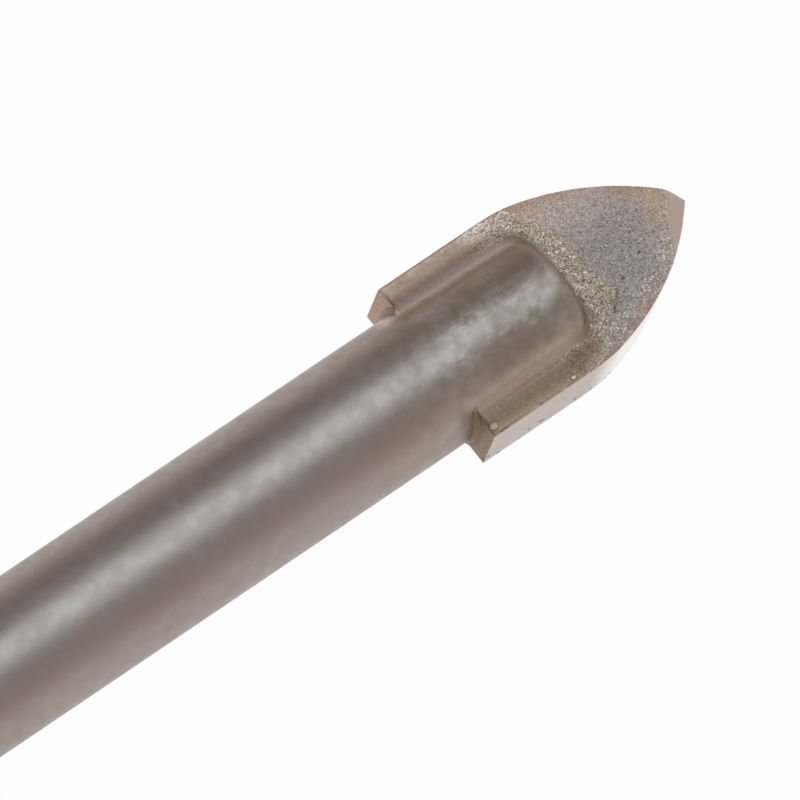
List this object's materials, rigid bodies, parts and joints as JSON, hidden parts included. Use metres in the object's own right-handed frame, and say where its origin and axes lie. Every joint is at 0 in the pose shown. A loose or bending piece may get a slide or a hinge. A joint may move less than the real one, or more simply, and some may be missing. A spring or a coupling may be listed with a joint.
{
  "type": "glass and tile drill bit",
  "caption": "Round steel drill shank with a spear-point carbide plate brazed into its slotted nose, for drilling holes in glass and ceramic tile.",
  "frame": {"origin": "on the drill's axis, at the rear end of the shank", "axes": "+X along the axis towards the point, +Z square to the flat of the carbide plate"},
  "size_m": [0.07, 0.006, 0.0046],
  "materials": {
    "shank_steel": "fine blasted steel, satin, with faint heat tints near the brazed nose",
    "tungsten_carbide": "blasted carbide flats with a fine sparkling grain, smooth ground edges and facets",
    "braze_alloy": "coarse granular silver-brass braze, tarnished olive in the creases"
  },
  "bodies": {
    "root": {"shank": "shank_steel", "carbide_tip": "tungsten_carbide", "braze": "braze_alloy"}
  },
  "joints": []
}
